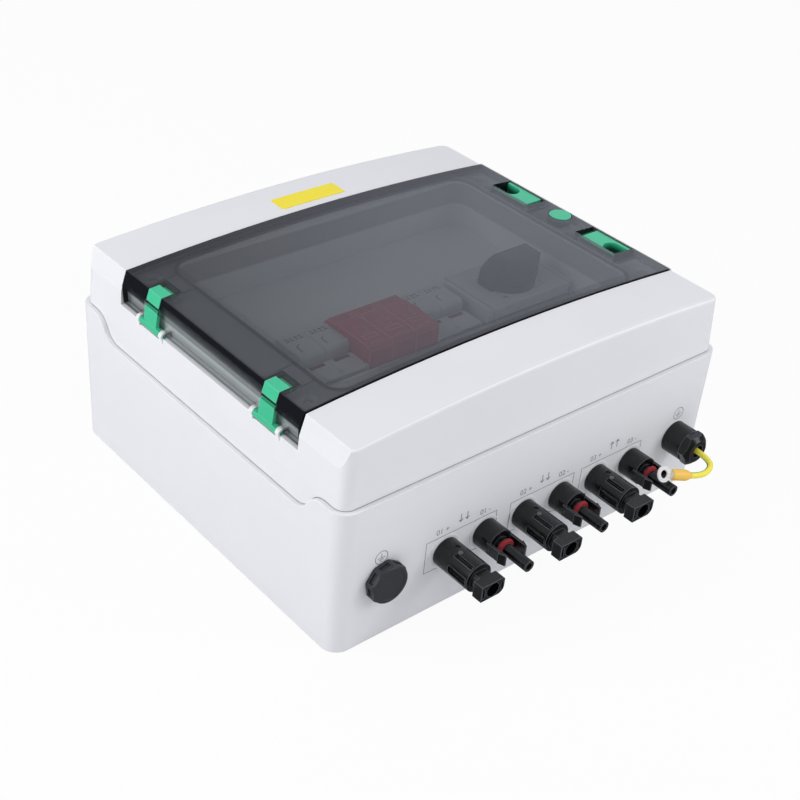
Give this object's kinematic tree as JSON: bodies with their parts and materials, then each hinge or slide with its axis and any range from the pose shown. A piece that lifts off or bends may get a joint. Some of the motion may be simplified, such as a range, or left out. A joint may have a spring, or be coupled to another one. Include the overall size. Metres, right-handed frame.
{
  "type": "solar combiner box",
  "caption": "Wall box with a smoked hinged door over a rail of fuse holders, surge cartridges and a rotary isolator, with panel plugs, a gland and an earth wire on one side.",
  "frame": {"origin": "centre of the back face, which lies on the wall", "axes": "+X from the hinges to the latches, +Y from the connector wall to the sticker's side, +Z out of the wall through the door"},
  "size_m": [0.3, 0.3042, 0.1411],
  "materials": {
    "white_shell": "fine satin moulded polycarbonate, off-white",
    "smoked_door": "glossy clear smoked polycarbonate",
    "seal_rubber": "matt",
    "green_plastic": "satin moulded",
    "zinc_steel": "zinc plated",
    "device_grey": "satin moulded",
    "red_cartridge": "satin moulded",
    "fuse_ceramic": "ceramic tube with metal caps",
    "black_plastic": "satin moulded",
    "red_seal": "matt silicone",
    "tinned_contact": "tinned",
    "wire_insulation": "soft insulation",
    "sleeve_plastic": "soft sleeve",
    "sticker": "blank printed film"
  },
  "bodies": {
    "case": {"base_shell": "white_shell", "front_cover": "white_shell", "case_seal": "seal_rubber", "door_seal": "seal_rubber", "gland_seal": "seal_rubber", "cover_screws": "zinc_steel", "din_rail": "zinc_steel", "rail_screws": "zinc_steel", "isolator_screws": "zinc_steel", "fuse_base_1": "device_grey", "fuse_base_2": "device_grey", "fuse_base_3": "device_grey", "fuse_base_4": "device_grey", "surge_base": "device_grey", "isolator_body": "device_grey", "end_stops": "device_grey", "surge_cartridge_1": "red_cartridge", "surge_cartridge_2": "red_cartridge", "surge_cartridge_3": "red_cartridge", "socket_connector_1": "black_plastic", "socket_connector_2": "black_plastic", "socket_connector_3": "black_plastic", "pin_connector_1": "black_plastic", "pin_connector_2": "black_plastic", "pin_connector_3": "black_plastic", "port_nuts": "black_plastic", "blank_plug": "black_plastic", "blank_plug_nut": "black_plastic", "gland_body": "black_plastic", "gland_nut": "black_plastic", "gland_lock_nut": "black_plastic", "seal_rings": "red_seal", "socket_contacts": "tinned_contact", "pin_contacts": "tinned_contact", "ring_terminal": "tinned_contact", "earth_wire": "wire_insulation", "wire_sleeve": "sleeve_plastic", "blank_label": "sticker"},
    "door": {"door": "smoked_door", "hinge_arm_far": "green_plastic", "hinge_arm_near": "green_plastic", "lock_plug": "green_plastic"},
    "latch_far": {"latch_far": "green_plastic"},
    "latch_near": {"latch_near": "green_plastic"},
    "isolator_knob": {"isolator_knob": "black_plastic", "isolator_shaft": "zinc_steel"},
    "fuse_drawer_1": {"fuse_drawer_1": "device_grey", "fuse_link_1": "fuse_ceramic"},
    "fuse_drawer_2": {"fuse_drawer_2": "device_grey", "fuse_link_2": "fuse_ceramic"},
    "fuse_drawer_3": {"fuse_drawer_3": "device_grey", "fuse_link_3": "fuse_ceramic"},
    "fuse_drawer_4": {"fuse_drawer_4": "device_grey", "fuse_link_4": "fuse_ceramic"}
  },
  "joints": [
    {"name": "door_hinge", "type": "hinge", "parent": "case", "child": "door", "pos_m": [-0.1446, 0, 0.1139], "axis": [0, -1, 0], "range_deg": [0, 105]},
    {"name": "latch_far_slide", "type": "slide", "parent": "door", "child": "latch_far", "axis": [0, -1, 0], "range_m": [0, 0.004]},
    {"name": "latch_near_slide", "type": "slide", "parent": "door", "child": "latch_near", "axis": [0, 1, 0], "range_m": [0, 0.004]},
    {"name": "isolator_turn", "type": "hinge", "parent": "case", "child": "isolator_knob", "pos_m": [0.078, -0.0115, 0.112], "axis": [0, 0, 1], "range_deg": [0, 90]},
    {"name": "fuse_drawer_1_tilt", "type": "hinge", "parent": "case", "child": "fuse_drawer_1", "pos_m": [-0.08, -0.0321, 0.1021], "axis": [1, 0, 0], "range_deg": [0, 30]},
    {"name": "fuse_drawer_2_tilt", "type": "hinge", "parent": "case", "child": "fuse_drawer_2", "pos_m": [-0.062, -0.0321, 0.1021], "axis": [1, 0, 0], "range_deg": [0, 30]},
    {"name": "fuse_drawer_3_tilt", "type": "hinge", "parent": "case", "child": "fuse_drawer_3", "pos_m": [0.01, -0.0321, 0.1021], "axis": [1, 0, 0], "range_deg": [0, 30]},
    {"name": "fuse_drawer_4_tilt", "type": "hinge", "parent": "case", "child": "fuse_drawer_4", "pos_m": [0.028, -0.0321, 0.1021], "axis": [1, 0, 0], "range_deg": [0, 30]}
  ]
}
